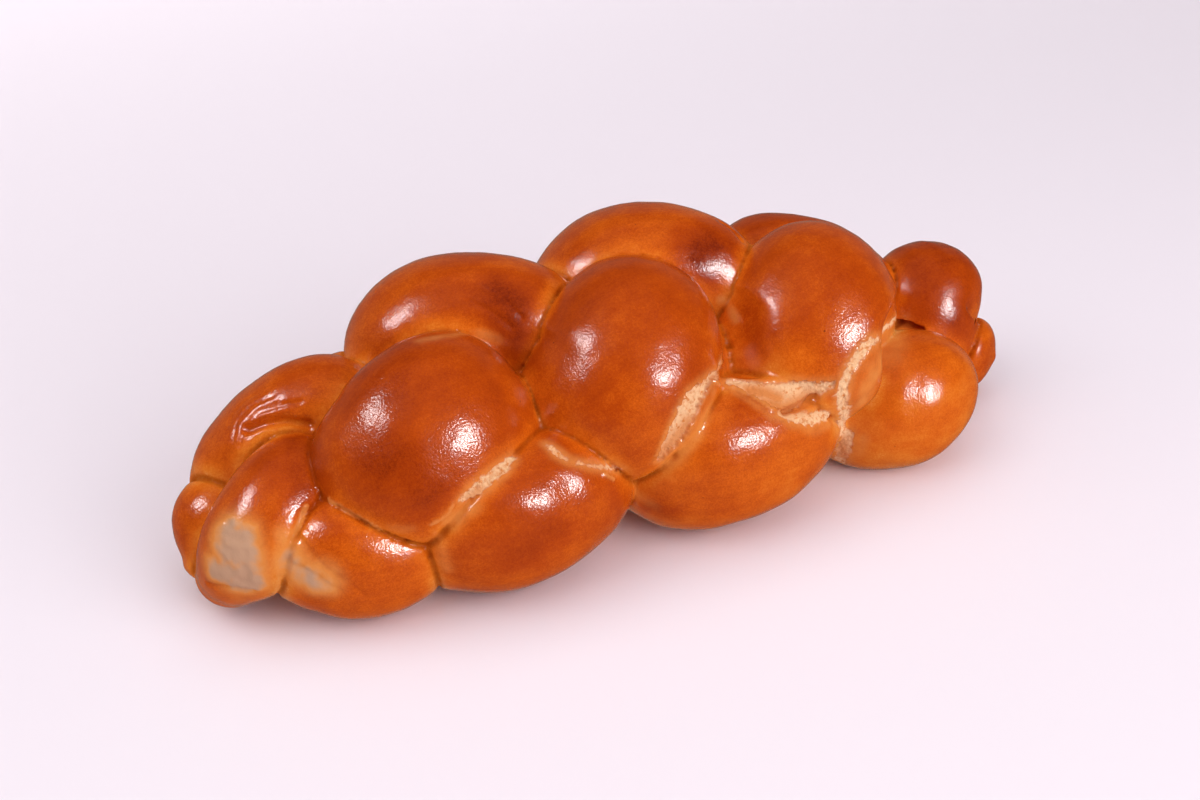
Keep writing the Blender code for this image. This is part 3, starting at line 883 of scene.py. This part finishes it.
def addFloor():
    half = studio["floorHalf"]
    corners = [(-half, -half, 0), (half, -half, 0), (half, half, 0), (-half, half, 0)]
    mesh = meshOf("floor", corners, [(0, 1, 2, 3)])
    floor = bpy.data.objects.new("floor", mesh)
    bpy.context.scene.collection.objects.link(floor)
    floor.visible_glossy = False   # the crust mirrors the dimmer world below in its place
    material = bpy.data.materials.new("white paper")
    material.use_nodes = True
    shader = material.node_tree.nodes["Principled BSDF"]
    shader.inputs["Base Color"].default_value = (*studio["floor"], 1.0)
    shader.inputs["Roughness"].default_value = 0.8
    mesh.materials.append(material)
    return floor


def addLights():
    for name, way, distance, size, watts, lights, mirrored in studio["lights"]:
        light = bpy.data.lights.new(name, "AREA")
        light.shape = "SQUARE"
        light.size = size
        light.energy = watts
        lamp = bpy.data.objects.new(name, light)
        way = Vector(way).normalized()
        lamp.location = Vector((0, 0, 0.04)) + way * distance
        lamp.rotation_euler = way.to_track_quat("Z", "Y").to_euler()
        lamp.visible_diffuse = lights
        lamp.visible_glossy = mirrored
        bpy.context.scene.collection.objects.link(lamp)
    strip = bpy.data.lights.new("paperLight", "AREA")   # lights the paper behind the loaf, and hardly the loaf
    strip.shape = "RECTANGLE"
    strip.size, strip.size_y = studio["strip"]["size"]
    strip.spread = math.radians(studio["strip"]["spread"])
    strip.energy = studio["strip"]["watts"]
    lamp = bpy.data.objects.new("paperLight", strip)
    lamp.location = studio["strip"]["place"]
    bpy.context.scene.collection.objects.link(lamp)
    world = bpy.data.worlds.new("studio")
    world.use_nodes = True
    tree = world.node_tree
    sky = tree.nodes["Background"]
    glossy = node(tree, "ShaderNodeLightPath").outputs["Is Glossy Ray"]
    tint = mixColour(tree, glossy, (*studio["sky"], 1.0), (*studio["mirrored"], 1.0))
    tree.links.new(tint, sky.inputs["Color"])
    place = node(tree, "ShaderNodeTexCoord")
    parts = node(tree, "ShaderNodeSeparateXYZ")
    tree.links.new(place.outputs["Generated"], parts.inputs[0])
    behind = mathNode(tree, "MULTIPLY", remap(tree, parts.outputs["Y"], 0.1, 0.6),
                      remap(tree, parts.outputs["Z"], 0.30, 0.70, 1.0, 0.0))
    below = remap(tree, parts.outputs["Z"], -0.05, 0.0, studio["below"], studio["skyRound"])
    mirrored = mathNode(tree, "MULTIPLY_ADD", behind, studio["skyBack"], below)
    # the room lights evenly, and the crust mirrors a dimmer and warmer one
    strength = node(tree, "ShaderNodeMix")
    tree.links.new(glossy, strength.inputs[0])
    strength.inputs[2].default_value = studio["fill"]
    tree.links.new(mirrored, strength.inputs[3])
    tree.links.new(strength.outputs[0], sky.inputs["Strength"])
    bpy.context.scene.world = world


def addCamera():
    _, _, back = viewAxes()
    lens = bpy.data.cameras.new("camera")
    lens.lens = view["lens"]
    lens.sensor_width = view["sensor"]
    camera = bpy.data.objects.new("camera", lens)
    camera.location = (Vector(view["aim"]) - Vector(braid["middle"]) + back * view["distance"]) * mm
    camera.rotation_euler = back.to_track_quat("Z", "Y").to_euler()
    bpy.context.scene.collection.objects.link(camera)
    bpy.context.scene.camera = camera


loaf = buildLoaf()
loaf.data.materials.append(crustMaterial())
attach(loaf, "root")
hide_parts("kalacs")
addFloor()
addLights()
addCamera()
bpy.context.scene.view_settings.view_transform = "Standard"
print("studio lit and camera set")
